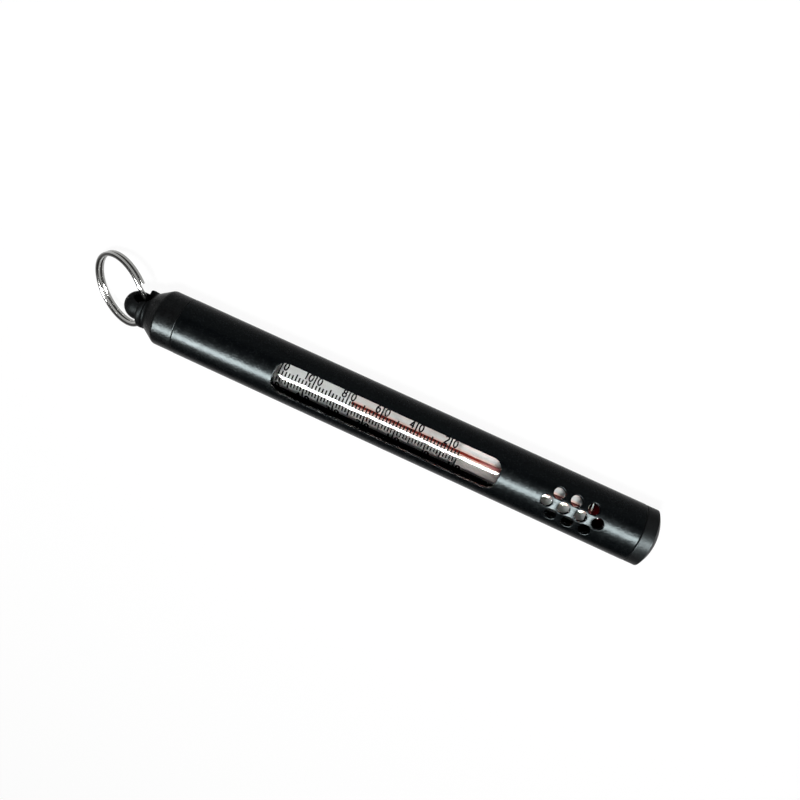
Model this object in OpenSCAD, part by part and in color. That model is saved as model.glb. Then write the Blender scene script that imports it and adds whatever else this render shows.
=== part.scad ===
// Pocket thermometer for fishing: a glass spirit thermometer in a turned aluminium barrel.
// The origin is on the barrel's axis, halfway along it. +X runs to the bulb end and +Z is up,
// with the eye for the split ring bored along Y. It is drawn lying on a table, the ring down on it.

/* [Barrel] */
// Outside diameter of the barrel
barrel_od = 12.7; // [12:0.1:15]
// Wall of the barrel
barrel_wall = 1.0; // [0.8:0.05:1.3]
// Length of the barrel between the two caps
barrel_len = 105.7; // [102:0.1:125]
// Bevel at each end of the barrel and on the two caps beside it
seam_bevel = 0.15; // [0.1:0.05:0.3]

/* [Window] */
// Length of the reading window, over its round ends
window_len = 51.5; // [40:0.1:56]
// Width of the reading window
window_w = 6.8; // [5:0.1:7.4]
// Distance from the screw cap's seam to the window
window_from_cap = 23.35; // [22:0.05:28]
// Turn of the window about the barrel, from straight up towards +Y
window_turn = 30; // [0:1:45]

/* [Water ports] */
// Diameter of one port
port_d = 2.5; // [1.5:0.1:3]
// Spacing of the ports along a row
port_pitch = 3.78; // [3.6:0.01:4.4]
// Distance from the end cap's seam to the middle of the ports
ports_from_end = 14.4; // [13:0.1:16]
// Angle between two rows of ports
port_row_step = 23; // [20:1:30]
// Width of the edge break round a port
port_break = 0.2; // [0.1:0.05:0.3]

/* [End cap] */
// How far the end cap's rim stands under the barrel's radius
cap_inset = 0.05; // [0.02:0.01:0.1]
// Length of the straight rim of the end cap
end_rim_len = 2.7; // [1.5:0.1:4]
// Rise of the crown of the end cap
end_crown_h = 1.9; // [1.2:0.1:3]
// Depth of the plug that is pressed into the barrel
end_plug_len = 4.0; // [3:0.1:5]

/* [Screw cap] */
// Length of the straight rim of the screw cap
cap_rim_len = 4.8; // [3:0.1:6]
// Length of the cone, from the rim to the neck
cap_cone_len = 3.3; // [2.5:0.1:4]
// Diameter of the neck between the cone and the bead
neck_d = 8.3; // [7.8:0.1:8.8]
// Diameter over the bead
bead_d = 8.7; // [8.5:0.1:9.4]
// Thickness of the bead
bead_t = 1.5; // [1.2:0.1:1.8]
// Diameter of the round nose
nose_d = 6.4; // [6:0.1:7.2]
// Length of the screw cap from the seam to the tip of its nose
cap_len = 14.55; // [14.2:0.05:16]
// Diameter of the eye bored through the nose
eye_d = 3.8; // [3.4:0.1:4]
// Distance from the tip of the nose to the middle of the eye
eye_from_tip = 4.1; // [3.8:0.1:4.5]
// Length of the spigot inside the barrel
spigot_len = 6.0; // [5:0.1:7]
// Advance of the thread in one turn
thread_pitch = 1.0; // [0.8:0.1:1.25]
// Depth of the thread
thread_depth = 0.4; // [0.3:0.05:0.5]

/* [Seal] */
// Thickness of the seal ring's rubber
seal_t = 1.0; // [0.8:0.05:1.2]
// Distance from the screw cap's shoulder to the seal's groove
seal_from_seam = 0.7; // [0.5:0.1:1]

/* [Split ring] */
// Outside diameter of the split ring
ring_od = 17.5; // [17:0.1:22]
// Width of the wire, across the ring's rim
wire_w = 1.0; // [0.8:0.05:1]
// Thickness of the wire, along the ring's axis
wire_t = 0.85; // [0.7:0.05:0.9]
// Gap between the two turns
turn_gap = 0.12; // [0.05:0.01:0.15]
// How far the wire lies from the middle of the eye, towards the barrel
wire_in_eye = 1.0; // [0.7:0.05:1.05]
// Where the outer end of the wire lies round the ring, from the eye
wire_end_at = 42; // [20:1:90]
// How much of the ring the wire takes to cross from one turn to the other
crossing = 36; // [25:1:60]

/* [Glass] */
// Diameter of the glass stem
stem_d = 6.7; // [6:0.1:7]
// Turn of the scale about the stem, from straight up towards +Y
stem_turn = 24; // [0:1:45]
// Diameter of the bulb
bulb_d = 6.0; // [5:0.1:6.4]
// Length of the bulb, from its neck to its tip
bulb_len = 5.0; // [4.5:0.1:9]
// Wall of the bulb
bulb_wall = 0.5; // [0.4:0.05:0.8]
// Diameter of the capillary bore
bore_d = 0.36; // [0.3:0.02:0.6]
// Distance from the middle of the stem to the enamel strip
enamel_back_off = 1.9; // [1.5:0.05:2.2]
// Thickness of the enamel strip
enamel_t = 0.5; // [0.3:0.05:0.7]
// Width of the enamel strip, as an angle round the stem
enamel_span = 150; // [120:1:170]

/* [Scale] */
// Temperature that the spirit shows, in degrees Fahrenheit
reading = 78; // [30:1:115]
// Length of one degree Fahrenheit
degree_len = 0.394; // [0.36:0.001:0.41]
// Distance from the window's cap end to the freezing mark
freezing_from_window = 35.07; // [33:0.01:37]
// Lowest and highest mark, in degrees Fahrenheit
fahrenheit_low = 10; // [0:10:30]
fahrenheit_high = 120; // [100:10:120]
// Lowest and highest mark, in degrees Celsius
celsius_low = -10; // [-10:10:0]
celsius_high = 50; // [40:10:50]
// Width of one mark
mark_w = 0.2; // [0.1:0.02:0.24]
// Thickness of the fired ink
mark_t = 0.04; // [0.03:0.01:0.08]

/* [Rubber] */
// Length of each collar round the stem
collar_len = 3.0; // [2:0.1:3.5]
// Distance from the window to each collar
collar_from_window = 3.0; // [2:0.1:4]
// Thickness of the cushion at each end of the glass
cushion_t = 2.0; // [1.5:0.1:3]

/* [Hidden] */
$fn = 96;

// Working clearance of a part in its seat, the loose foam's, and a cut's reach past its face
fit = 0.02;
cushion_gap = 0.2;
past = 1;

// Barrel
barrel_r = barrel_od / 2;
bore_r = barrel_r - barrel_wall;
seam_x = barrel_len / 2;
rim_r = barrel_r - cap_inset;

// Window and ports
window_r = window_w / 2;
window_x0 = -seam_x + window_from_cap;
window_x1 = window_x0 + window_len;
ports_x = seam_x - ports_from_end;
port_rows = [3, 4, 3];

// Screw cap, measured outwards from its seam
neck_r = neck_d / 2;
nose_r = nose_d / 2;
bead_r = bead_t / 2;
neck_len = 0.45;
bead_u = cap_rim_len + cap_cone_len + neck_len + bead_r;
nose_u = cap_len - nose_r;
eye_r = eye_d / 2;
eye_x = -seam_x - cap_len + eye_from_tip;
eye_flare_least = 0.05;
eye_land = cap_len - eye_from_tip - eye_r - cap_rim_len - cap_cone_len;
eye_flare = max(eye_flare_least, min(0.35, eye_land));  // as wide as the metal up to the cone lets it
shoulder_round = 0.8;
spigot_r = bore_r - 2 * fit;
seal_r = spigot_r - seal_t / 2 + fit / 2;
groove_r = seal_r - seal_t / 2 - fit;
groove_len = seal_t + 2 * fit;
thread_r = bore_r - 2 * fit;
core_r = thread_r - thread_depth;
ridge_share = 0.36;
crest_share = 0.07;
groove_land = 0.7;
thread_u0 = seal_from_seam + groove_len + groove_land;

// Split ring
turn_rise = wire_t + turn_gap;
ring_r = (ring_od - wire_w) / 2;
ring_half_t = turn_rise / 2 + wire_t / 2;
ring_reach = 2 * ring_r + wire_w / 2 - wire_in_eye;
ring_droop = asin(barrel_r / norm([ring_reach, ring_half_t])) - atan2(ring_half_t, ring_reach);
ring_sections = 48;
wire_end_gap = 4;
wire_flat = 0.3;

// Glass
stem_r = stem_d / 2;
bulb_r = bulb_d / 2;
glass_x0 = -seam_x + spigot_len + cushion_t + 2 * fit;
dish_depth = 0.5;
glass_x1 = seam_x - end_plug_len - cushion_t - 2 * fit + dish_depth;
glass_end_round = 0.5;
bulb_x = glass_x1 - bulb_len;
bulb_neck = 0.9;
bulb_neck_r = bulb_r - 0.45;
bulb_shoulder = 0.8;
column_r = bore_d / 2;
chamber_r = 2.5 * column_r;
chamber_len = 2;
chamber_x = glass_x0 + 4;
enamel_x0 = glass_x0 + 2;
enamel_x1 = bulb_x - bulb_neck - 0.3;

// Scale
freezing_x = window_x0 + freezing_from_window;
mark_gap = 6;
f_short = 19;
f_ten = 32;
f_twenty = 59;
c_short = 30;
c_five = 37;
c_ten = 54;
function x_at_f(t) = freezing_x - (t - 32) * degree_len;
function x_at_c(t) = x_at_f(32 + 1.8 * t);

// Places a turned shape's profile, whose y runs out from x along -X or +X
module towards_cap(x) { translate([x, 0, 0]) rotate([0, -90, 0]) children(); }
module towards_bulb(x) { translate([x, 0, 0]) rotate([0, 90, 0]) children(); }

// Turns a thing that points straight up about the barrel's axis, towards +Y
module turned_to(angle) { rotate([-angle, 0, 0]) children(); }

// Round bar along X from x0 to x1
module bar(x0, x1, r) { towards_bulb(x0) cylinder(h = x1 - x0, r = r); }

// Ring along X from x0 to x1, and a stretch of one round from a0 to a1
module sleeve(x0, x1, r0, r1) {
  difference() { bar(x0, x1, r1); bar(x0 - past, x1 + past, r0); }
}
module sleeve_arc(x0, x1, r0, r1, a0, a1) {
  towards_bulb(x0) rotate([0, 0, 180 - a1])
    rotate_extrude(angle = a1 - a0) translate([r0, 0]) square([r1 - r0, x1 - x0]);
}

// Solid skinned over a row of closed sections with the same number of points
module skin(sections) {
  n = len(sections[0]);
  last = (len(sections) - 1) * n;
  walls = [for (i = [0 : len(sections) - 2], j = [0 : n - 1])
    let (a = i * n + j, b = i * n + (j + 1) % n) each [[a, b, b + n], [a, b + n, a + n]]];
  lids = [for (j = [1 : n - 2]) each [[0, j + 1, j], [last, last + j, last + j + 1]]];
  polyhedron(points = [for (s = sections) each s], faces = concat(walls, lids));
}

module case_tube() {
  color([0.03, 0.03, 0.035]) difference() {
    towards_bulb(-seam_x) rotate_extrude() polygon([
      [bore_r, 0], [barrel_r - seam_bevel, 0], [barrel_r, seam_bevel],
      [barrel_r, barrel_len - seam_bevel], [barrel_r - seam_bevel, barrel_len], [bore_r, barrel_len]]);
    turned_to(window_turn) window_cut();
    for (row = [0 : len(port_rows) - 1], i = [0 : port_rows[row] - 1])
      translate([ports_x + (i - (port_rows[row] - 1) / 2) * port_pitch, 0, 0])
        turned_to(window_turn + (1 - row) * port_row_step) port_cut();
  }
}

module window_cut() {
  for (x = [window_x0 + window_r, window_x1 - window_r])
    translate([x, 0, 0]) cylinder(h = barrel_od, r = window_r);
  translate([window_x0 + window_r, -window_r, 0]) cube([window_len - window_w, window_w, barrel_od]);
}

module port_cut() {
  cylinder(h = barrel_od, d = port_d);
  translate([0, 0, barrel_r - port_break])
    cylinder(h = 2 * port_break, d1 = port_d, d2 = port_d + 4 * port_break);
}

module end_cap() {
  crown_r = (rim_r * rim_r + end_crown_h * end_crown_h) / (2 * end_crown_h);
  color([0.03, 0.03, 0.035]) towards_bulb(seam_x) {
    rotate_extrude() polygon([
      [0, -end_plug_len], [bore_r - fit - seam_bevel, -end_plug_len],
      [bore_r - fit, seam_bevel - end_plug_len], [bore_r - fit, 0], [rim_r - seam_bevel, 0],
      [rim_r, seam_bevel], [rim_r, end_rim_len], [0, end_rim_len]]);
    intersection() {
      translate([0, 0, end_rim_len + end_crown_h - crown_r]) sphere(r = crown_r);
      translate([0, 0, end_rim_len]) cylinder(h = end_crown_h + past, r = rim_r);
    }
  }
}

module top_cap() {
  cone_turn = atan2(rim_r - neck_r, cap_cone_len);
  round_back = shoulder_round * tan(cone_turn / 2);
  color([0.03, 0.03, 0.035]) difference() {
    towards_cap(-seam_x) {
      rotate_extrude() {
        polygon([
          [0, 0], [rim_r - seam_bevel, 0], [rim_r, seam_bevel], [rim_r, cap_rim_len - round_back],
          [rim_r - shoulder_round * (1 - cos(cone_turn)),
           cap_rim_len - round_back + shoulder_round * sin(cone_turn)],
          [neck_r, cap_rim_len + cap_cone_len], [neck_r, bead_u], [nose_r, bead_u],
          [nose_r, nose_u], [0, nose_u]]);
        translate([rim_r - shoulder_round, cap_rim_len - round_back]) circle(r = shoulder_round);
        translate([bead_d / 2 - bead_r, bead_u]) circle(r = bead_r);
      }
      translate([0, 0, nose_u]) sphere(r = nose_r);
      spigot();
    }
    translate([eye_x, 0, 0]) rotate([90, 0, 0]) {
      cylinder(h = barrel_od, r = eye_r, center = true);
      for (side = [0, 180]) rotate([side, 0, 0]) translate([0, 0, nose_r - 2 * eye_flare])
        cylinder(h = 4 * eye_flare, r1 = eye_r, r2 = eye_r + 3 * eye_flare);
    }
  }
}

// The spigot runs from the shoulder into the barrel, against the cap's own direction.
// The ridges of its thread are level rings one pitch apart, without the thread's lead.
module spigot() {
  ridge = thread_pitch * ridge_share;
  crest = thread_pitch * crest_share;
  ridges = floor((spigot_len - thread_u0 - 2 * ridge) / thread_pitch);
  rotate_extrude() polygon(concat(
    [[0, past], [spigot_r, past], [spigot_r, -seal_from_seam], [groove_r, -seal_from_seam],
     [groove_r, -seal_from_seam - groove_len], [spigot_r, -seal_from_seam - groove_len],
     [spigot_r, -thread_u0], [core_r, -thread_u0 - thread_depth]],
    [for (i = [0 : ridges]) let (u = spigot_len - ridge - (ridges - i) * thread_pitch) each
      [[core_r, ridge - u], [thread_r, crest - u], [thread_r, -crest - u], [core_r, -ridge - u]]],
    [[0, -spigot_len]]));
}

module cap_seal() {
  color([0.02, 0.02, 0.02]) towards_bulb(-seam_x + seal_from_seam + groove_len / 2)
    rotate_extrude() translate([seal_r, 0]) circle(d = seal_t);
}

// The ring lies against the barrel side of the eye and hangs down to the table
module split_ring() {
  color([0.75, 0.74, 0.72]) translate([eye_x, 0, 0]) rotate([0, -ring_droop, 0])
    translate([wire_in_eye - ring_r, 0, 0]) skin(wire_sections());
}

// Sections of the wire: one turn low, a crossing, then one turn high
function wire_height(a) =
  let (t = min(1, max(0, (a - (360 - crossing)) / crossing)))
  turn_rise * (t * t * (3 - 2 * t) - 0.5);
function wire_sections() =
  let (sweep = 720 - crossing - wire_end_gap, count = ceil(sweep * ring_sections / 360), c = wire_flat)
  [for (i = [0 : count])
    let (a = i * sweep / count, spoke = [cos(a + wire_end_at), sin(a + wire_end_at), 0],
         middle = ring_r * spoke + [0, 0, wire_height(a)], w = wire_w / 2, t = wire_t / 2)
    [for (p = [[w, c * t], [c * w, t], [-c * w, t], [-w, c * t],
               [-w, -c * t], [-c * w, -t], [c * w, -t], [w, -c * t]])
      middle + p[0] * spoke + [0, 0, p[1]]]];

module thermometer_glass() {
  color([0.85, 0.9, 0.9, 0.4]) difference() {
    towards_bulb(glass_x0) rotate_extrude() glass_outline();
    spirit_space(chamber_x);
    bar(chamber_x - chamber_len, chamber_x, chamber_r);
    enamel_strip();
  }
}

module glass_outline() {
  len = glass_x1 - glass_x0;
  neck_u = bulb_x - glass_x0;
  polygon([
    [0, 0], [stem_r - glass_end_round, 0], [stem_r, glass_end_round],
    [stem_r, neck_u - bulb_neck], [bulb_neck_r, neck_u - bulb_neck / 3], [bulb_neck_r, neck_u],
    [bulb_r, neck_u + bulb_neck], [bulb_r, len - bulb_r], [0, len - bulb_r]]);
  translate([stem_r - glass_end_round, glass_end_round]) circle(r = glass_end_round);
  intersection() {
    translate([0, len - bulb_r]) circle(r = bulb_r);
    translate([0, len - bulb_r]) square([bulb_r, bulb_r]);
  }
}

// The spirit fills the bulb and stands in the bore up to x
module spirit_space(x) {
  inner_r = bulb_r - bulb_wall;
  bar(x, bulb_x + 2 * bulb_neck, column_r);
  body_len = bulb_len - bulb_neck - bulb_r;
  towards_bulb(bulb_x + bulb_neck) rotate_extrude() {
    polygon([[0, 0], [column_r, 0], [inner_r, bulb_shoulder], [inner_r, body_len], [0, body_len]]);
    intersection() {
      translate([0, body_len]) circle(r = inner_r);
      translate([0, body_len]) square([inner_r, inner_r]);
    }
  }
}

module red_spirit() { color([0.6, 0.02, 0.04]) spirit_space(x_at_f(reading)); }

module enamel_strip() {
  color([0.92, 0.92, 0.9]) turned_to(stem_turn + 180)
    sleeve_arc(enamel_x0, enamel_x1, enamel_back_off, enamel_back_off + enamel_t,
               -enamel_span / 2, enamel_span / 2);
}

// One mark: a short arc on the stem, between two angles from the middle of the scale
module mark(x, a0, a1) {
  sleeve_arc(x - mark_w / 2, x + mark_w / 2, stem_r, stem_r + mark_t, a0, a1);
}

module fahrenheit_marks() {
  color([0.05, 0.05, 0.06]) turned_to(stem_turn) for (t = [fahrenheit_low : 2 : fahrenheit_high])
    mark(x_at_f(t), mark_gap, t % 20 == 0 ? f_twenty : t % 10 == 0 ? f_ten : f_short);
}

module celsius_marks() {
  color([0.05, 0.05, 0.06]) turned_to(stem_turn) for (t = [celsius_low : 1 : celsius_high])
    mark(x_at_c(t), -(t % 10 == 0 ? c_ten : t % 5 == 0 ? c_five : c_short), -mark_gap);
}

module upper_collar() {
  color([0.06, 0.06, 0.06])
    sleeve(window_x0 - collar_from_window - collar_len, window_x0 - collar_from_window,
           stem_r + fit, bore_r - fit);
}

module lower_collar() {
  color([0.06, 0.06, 0.06])
    sleeve(window_x1 + collar_from_window, window_x1 + collar_from_window + collar_len,
           stem_r + fit, bore_r - fit);
}

module top_cushion() {
  color([0.1, 0.1, 0.1])
    bar(-seam_x + spigot_len + fit, -seam_x + spigot_len + fit + cushion_t, stem_r);
}

module bulb_cushion() {
  color([0.1, 0.1, 0.1]) difference() {
    bar(seam_x - end_plug_len - fit - cushion_t, seam_x - end_plug_len - fit, bore_r - cushion_gap);
    translate([glass_x1 - bulb_r, 0, 0]) sphere(r = bulb_r + fit);
  }
}

case_tube();
end_cap();
thermometer_glass();
red_spirit();
enamel_strip();
fahrenheit_marks();
celsius_marks();
upper_collar();
lower_collar();
top_cushion();
bulb_cushion();
cap_seal();
top_cap();
split_ring();
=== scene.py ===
import math

import bmesh
import bpy
from mathutils import Matrix, Vector


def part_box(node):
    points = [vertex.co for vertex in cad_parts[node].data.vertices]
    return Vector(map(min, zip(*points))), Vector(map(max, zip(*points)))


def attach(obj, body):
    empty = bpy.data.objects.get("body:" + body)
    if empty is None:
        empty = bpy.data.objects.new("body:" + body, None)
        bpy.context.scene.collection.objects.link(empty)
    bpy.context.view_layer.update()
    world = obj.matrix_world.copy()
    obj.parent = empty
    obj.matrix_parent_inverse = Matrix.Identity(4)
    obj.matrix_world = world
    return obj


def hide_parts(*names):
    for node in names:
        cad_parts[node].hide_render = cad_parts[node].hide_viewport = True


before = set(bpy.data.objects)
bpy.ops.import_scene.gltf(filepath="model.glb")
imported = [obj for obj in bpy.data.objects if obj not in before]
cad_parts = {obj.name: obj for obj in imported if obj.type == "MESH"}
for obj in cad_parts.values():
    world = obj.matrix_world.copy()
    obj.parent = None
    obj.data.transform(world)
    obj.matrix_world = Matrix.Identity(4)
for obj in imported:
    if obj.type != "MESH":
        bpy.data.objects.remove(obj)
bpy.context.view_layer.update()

# Pocket thermometer for fishing, in metres. The origin is halfway along the barrel, on its axis;
# +X runs to the bulb end, +Z is up from the table. An angle round the barrel starts at +Z and
# grows towards +Y, the side that faces the camera.
MM = 0.001

# Studio
# A white table in a dim room, under two softboxes: one lights the matt faces, and one, long and a
# little skew to the barrel, makes the shine. The camera looks down at 45 degrees, and the picture
# is turned so that the scale reads from left to right.
camera_at = Vector((7.466, 117.706, 117.706)) * MM
camera_aim = Vector((-3.376, 3.425, -3.425)) * MM
camera_roll = math.radians(-151.55)
table_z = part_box("case_tube")[0].z
table_reach = 3.0
table_grey = (0.86, 0.86, 0.86, 1)
plain_white = 0.95
white_below, dim_above, dim_room = 0.06, 0.26, 0.02
fill_at, fill_size, fill_radiance = Vector((0.03, 0.09, 0.55)), (0.07, 0.12), 165.0
shine_at, shine_size, shine_radiance = Vector((0, 0.078, 0.5)), (0.9, 0.14), 255.0
shine_turn = math.radians(29.7)


def aimed(at, aim, roll):
    """The placing of a camera or lamp that looks at a point and is rolled about its view."""
    facing = (aim - at).to_track_quat("-Z", "Y").to_matrix()
    return Matrix.Translation(at) @ (facing @ Matrix.Rotation(roll, 3, "Z")).to_4x4()


camera_data = bpy.data.cameras.new("camera")
camera_data.lens = 34.95
camera_data.clip_start = 0.01
camera = bpy.data.objects.new("camera", camera_data)
camera.matrix_world = aimed(camera_at, camera_aim, camera_roll)
bpy.context.scene.collection.objects.link(camera)
bpy.context.scene.camera = camera
bpy.context.scene.view_settings.view_transform = "Standard"


def add(tree, kind, inputs=(), **settings):
    """Adds a node; inputs are (socket name or number, value or socket to link) pairs."""
    node = tree.nodes.new(kind)
    for name, value in settings.items():
        setattr(node, name, value)
    for name, value in inputs:
        if isinstance(value, bpy.types.NodeSocket):
            tree.links.new(value, node.inputs[name])
        else:
            node.inputs[name].default_value = value
    return node


def calc(tree, operation, *terms):
    """A Math node's result."""
    return add(tree, "ShaderNodeMath", list(enumerate(terms)), operation=operation).outputs[0]


def ramp(tree, value, start, end, low=0.0, high=1.0, **settings):
    """A value mapped from the range start to end onto low to high, and held past both ends."""
    limits = [(0, value), (1, start), (2, end), (3, low), (4, high)]
    return add(tree, "ShaderNodeMapRange", limits, **settings).outputs[0]


def new_material(name):
    """A material, its empty node tree and the socket that its shader goes into."""
    material = bpy.data.materials.new(name)
    material.use_nodes = True
    material.node_tree.nodes.clear()
    output = material.node_tree.nodes.new("ShaderNodeOutputMaterial")
    return material, material.node_tree, output.inputs["Surface"]


def seen_rays(tree):
    """1 for a ray from the camera, a mirror or glass, and 0 for light that falls on something."""
    path = add(tree, "ShaderNodeLightPath")
    either = calc(tree, "MAXIMUM", path.outputs["Is Camera Ray"], path.outputs["Is Glossy Ray"])
    return calc(tree, "MAXIMUM", either, path.outputs["Is Transmission Ray"])


world = bpy.data.worlds.new("room")
bpy.context.scene.world = world
world.use_nodes = True
room = world.node_tree
room.nodes.clear()
direction = add(room, "ShaderNodeTexCoord").outputs["Generated"]
height = add(room, "ShaderNodeSeparateXYZ", [(0, direction)]).outputs["Z"]
dimming = ramp(room, height, white_below, dim_above, 1.0, dim_room, interpolation_type="SMOOTHSTEP")
before_camera = add(room, "ShaderNodeLightPath").outputs["Is Camera Ray"]
walls = add(room, "ShaderNodeBackground", [
    ("Color", (1, 1, 1, 1)), ("Strength", calc(room, "MAXIMUM", before_camera, dimming))])
add(room, "ShaderNodeOutputWorld", [("Surface", walls.outputs[0])])

corners = [(x * table_reach, y * table_reach, table_z)
           for x, y in ((-1, -1), (1, -1), (1, 1), (-1, 1))]
table_mesh = bpy.data.meshes.new("table")
table_mesh.from_pydata(corners, [], [(0, 1, 2, 3)])
table = bpy.data.objects.new("table", table_mesh)
bpy.context.scene.collection.objects.link(table)
table_white, tree, surface = new_material("table_white")
lit = add(tree, "ShaderNodeBsdfDiffuse", [("Color", table_grey)])
bare = add(tree, "ShaderNodeEmission", [("Color", (1, 1, 1, 1)), ("Strength", 1.0)])
share = calc(tree, "MULTIPLY", seen_rays(tree), plain_white)
both = add(tree, "ShaderNodeMixShader", [(0, share), (1, lit.outputs[0]), (2, bare.outputs[0])])
tree.links.new(both.outputs[0], surface)
table_mesh.materials.append(table_white)


def softbox(name, at, aim, size, turn, radiance):
    """A rectangular lamp of an even radiance, its long side turned from X by an angle."""
    lamp = bpy.data.lights.new(name, "AREA")
    lamp.shape = "RECTANGLE"
    lamp.size, lamp.size_y = size
    lamp.energy = radiance * math.pi * size[0] * size[1]
    holder = bpy.data.objects.new(name, lamp)
    holder.matrix_world = aimed(at, aim, turn)
    holder.visible_transmission = False
    bpy.context.scene.collection.objects.link(holder)
    return holder


fill = softbox("softbox", fill_at, Vector(), fill_size, 0.0, fill_radiance)
fill.visible_glossy = False
under_shine = Vector((0, shine_at.y, 0))
shine = softbox("softbox_shine", shine_at, under_shine, shine_size, shine_turn, shine_radiance)
shine.visible_diffuse = False

# Barrel
# Half-inch aluminium tube, bored right through. A reading window with round ends is milled
# straight down through one side, and three staggered rows of water ports are drilled at the
# bulb end; every edge is lightly broken, and the whole is blasted and dyed black.
tube_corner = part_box("case_tube")[1]
barrel_r = tube_corner.y
seam = tube_corner.x
full_turn = 2 * math.pi
wall = 1.0 * MM
seam_break = 0.2 * MM
window_break = 0.04 * MM
port_break = 0.18 * MM
window_x0 = -seam + 23.35 * MM
window_len = 51.5 * MM
window_w = 6.8 * MM
window_corner = 2.3 * MM
window_turn = math.radians(30)
port_rows = (3, 4, 3)
port_r = 1.25 * MM
port_pitch = 3.78 * MM
ports_x = seam - 14.4 * MM
port_row_step = math.radians(23)
grain_scale, cloud_scale = 2300.0, 700.0
grain_depth = 0.05 * MM
oxide_gloss = 0.04
oxide_tint = (0.84, 0.98, 1.0, 1)
bore_dye = (0.006, 0.007, 0.008, 1)


def filleted(corners, steps=5):
    """The points of an outline of (x, r, fillet) corners, with an arc at each that has one."""
    points = []
    count = len(corners)
    for i, (x, r, fillet) in enumerate(corners):
        here = Vector((x, r))
        if not fillet:
            points.append(here)
            continue
        before = (Vector(corners[i - 1][:2]) - here).normalized()
        after = (Vector(corners[(i + 1) % count][:2]) - here).normalized()
        half = before.angle(after) / 2
        middle = here + (before + after).normalized() * (fillet / math.sin(half))
        start = here + before * (fillet / math.tan(half))
        end = here + after * (fillet / math.tan(half))
        a, b = start - middle, end - middle
        bend = a.angle(b)
        for k in range(steps + 1):
            t = k / steps
            spoke = (a * math.sin((1 - t) * bend) + b * math.sin(t * bend)) / math.sin(bend)
            points.append(middle + spoke)
    return points


def shown(name, mesh):
    """A new piece of the scene."""
    piece = bpy.data.objects.new(name, mesh)
    bpy.context.scene.collection.objects.link(piece)
    return piece


def spun(name, points, segments=160, closed=False, start=0.0, sweep_angle=full_turn):
    """A piece turned round the X axis from (x, r) points; open profiles start and end on it."""
    bm = bmesh.new()
    whole = sweep_angle >= full_turn
    rows = segments if whole else segments + 1
    angles = [start + sweep_angle * j / segments for j in range(rows)]
    rings = []
    for x, r in points:
        on_axis = r < 1e-9
        if on_axis:
            rings.append([bm.verts.new((x, 0, 0))] * rows)
        else:
            rings.append([bm.verts.new((x, r * math.sin(a), r * math.cos(a))) for a in angles])
    pairs = list(zip(rings, rings[1:])) + ([(rings[-1], rings[0])] if closed else [])
    for low, high in pairs:
        for j in range(segments):
            k = (j + 1) % rows
            corners = []
            for v in (low[j], low[k], high[k], high[j]):
                if v not in corners:
                    corners.append(v)
            if len(corners) > 2:
                bm.faces.new(corners)
    if closed and not whole:
        for j in (0, -1):
            bm.faces.new([ring[j] for ring in rings])
    bmesh.ops.recalc_face_normals(bm, faces=bm.faces)
    mesh = bpy.data.meshes.new(name)
    bm.to_mesh(mesh)
    bm.free()
    return shown(name, mesh)


def settle(piece):
    """Turns what the modifiers make into the piece's plain mesh."""
    graph = bpy.context.evaluated_depsgraph_get()
    mesh = bpy.data.meshes.new_from_object(piece.evaluated_get(graph))
    piece.modifiers.clear()
    piece.data = mesh


def polish(piece, crease=32):
    """Smooth shading that keeps flats flat and creases sharp."""
    piece.data.shade_smooth()
    piece.data.set_sharp_from_angle(angle=math.radians(crease))
    level = piece.modifiers.new("normals", "WEIGHTED_NORMAL")
    level.keep_sharp = True
    level.weight = 100
    settle(piece)


def cut(piece, cutter):
    """Takes the cutter's shape out of the piece and throws the cutter away."""
    tool = piece.modifiers.new("cut", "BOOLEAN")
    tool.operation = "DIFFERENCE"
    tool.solver = "MANIFOLD"
    tool.object = cutter
    settle(piece)
    bpy.data.objects.remove(cutter)


def slot_outline(length, width, corner, steps=10):
    """Points round an opening with rounded corners, each with its outward direction."""
    outline = []
    for quarter in range(4):
        turn = math.radians(90 * quarter)
        x = (length / 2 - corner) * (1 if quarter in (0, 3) else -1)
        y = (width / 2 - corner) * (1 if quarter in (0, 1) else -1)
        for k in range(steps + 1):
            a = turn + math.pi / 2 * k / steps
            out = Vector((math.cos(a), math.sin(a)))
            outline.append((Vector((x, y)) + out * corner, out))
    return outline


def milling_cutter(name, outline, edge_break):
    """A straight cutter that points up, and flares at the barrel's face to break the edge."""
    bm = bmesh.new()
    foot_r, head_z = barrel_r - 1.8 * wall, 1.2 * barrel_r
    flare, steps = math.radians(75), 4
    layers = [(0.0, foot_r)]
    for k in range(steps + 1):
        a = flare * k / steps
        layers.append((edge_break * (1 - math.cos(a)), barrel_r - edge_break * (1 - math.sin(a))))
    layers.append((layers[-1][0] + 0.1 * MM, barrel_r + 0.03 * MM))
    rings = []
    for grow_by, radius in layers:
        sides = [point + out * grow_by for point, out in outline]
        rings.append([bm.verts.new((p.x, p.y, math.sqrt(radius ** 2 - p.y ** 2))) for p in sides])
    rings.append([bm.verts.new((v.co.x, v.co.y, head_z)) for v in rings[-1]])
    for low, high in zip(rings, rings[1:]):
        for j in range(len(low)):
            k = (j + 1) % len(low)
            bm.faces.new((low[j], low[k], high[k], high[j]))
    for ring in (rings[0], rings[-1]):
        centre = bm.verts.new(sum((v.co for v in ring), Vector()) / len(ring))
        for j in range(len(ring)):
            bm.faces.new((ring[j], ring[(j + 1) % len(ring)], centre))
    bmesh.ops.remove_doubles(bm, verts=bm.verts, dist=0.001 * MM)
    bmesh.ops.recalc_face_normals(bm, faces=bm.faces)
    mesh = bpy.data.meshes.new(name)
    bm.to_mesh(mesh)
    bm.free()
    return shown(name, mesh)


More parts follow.
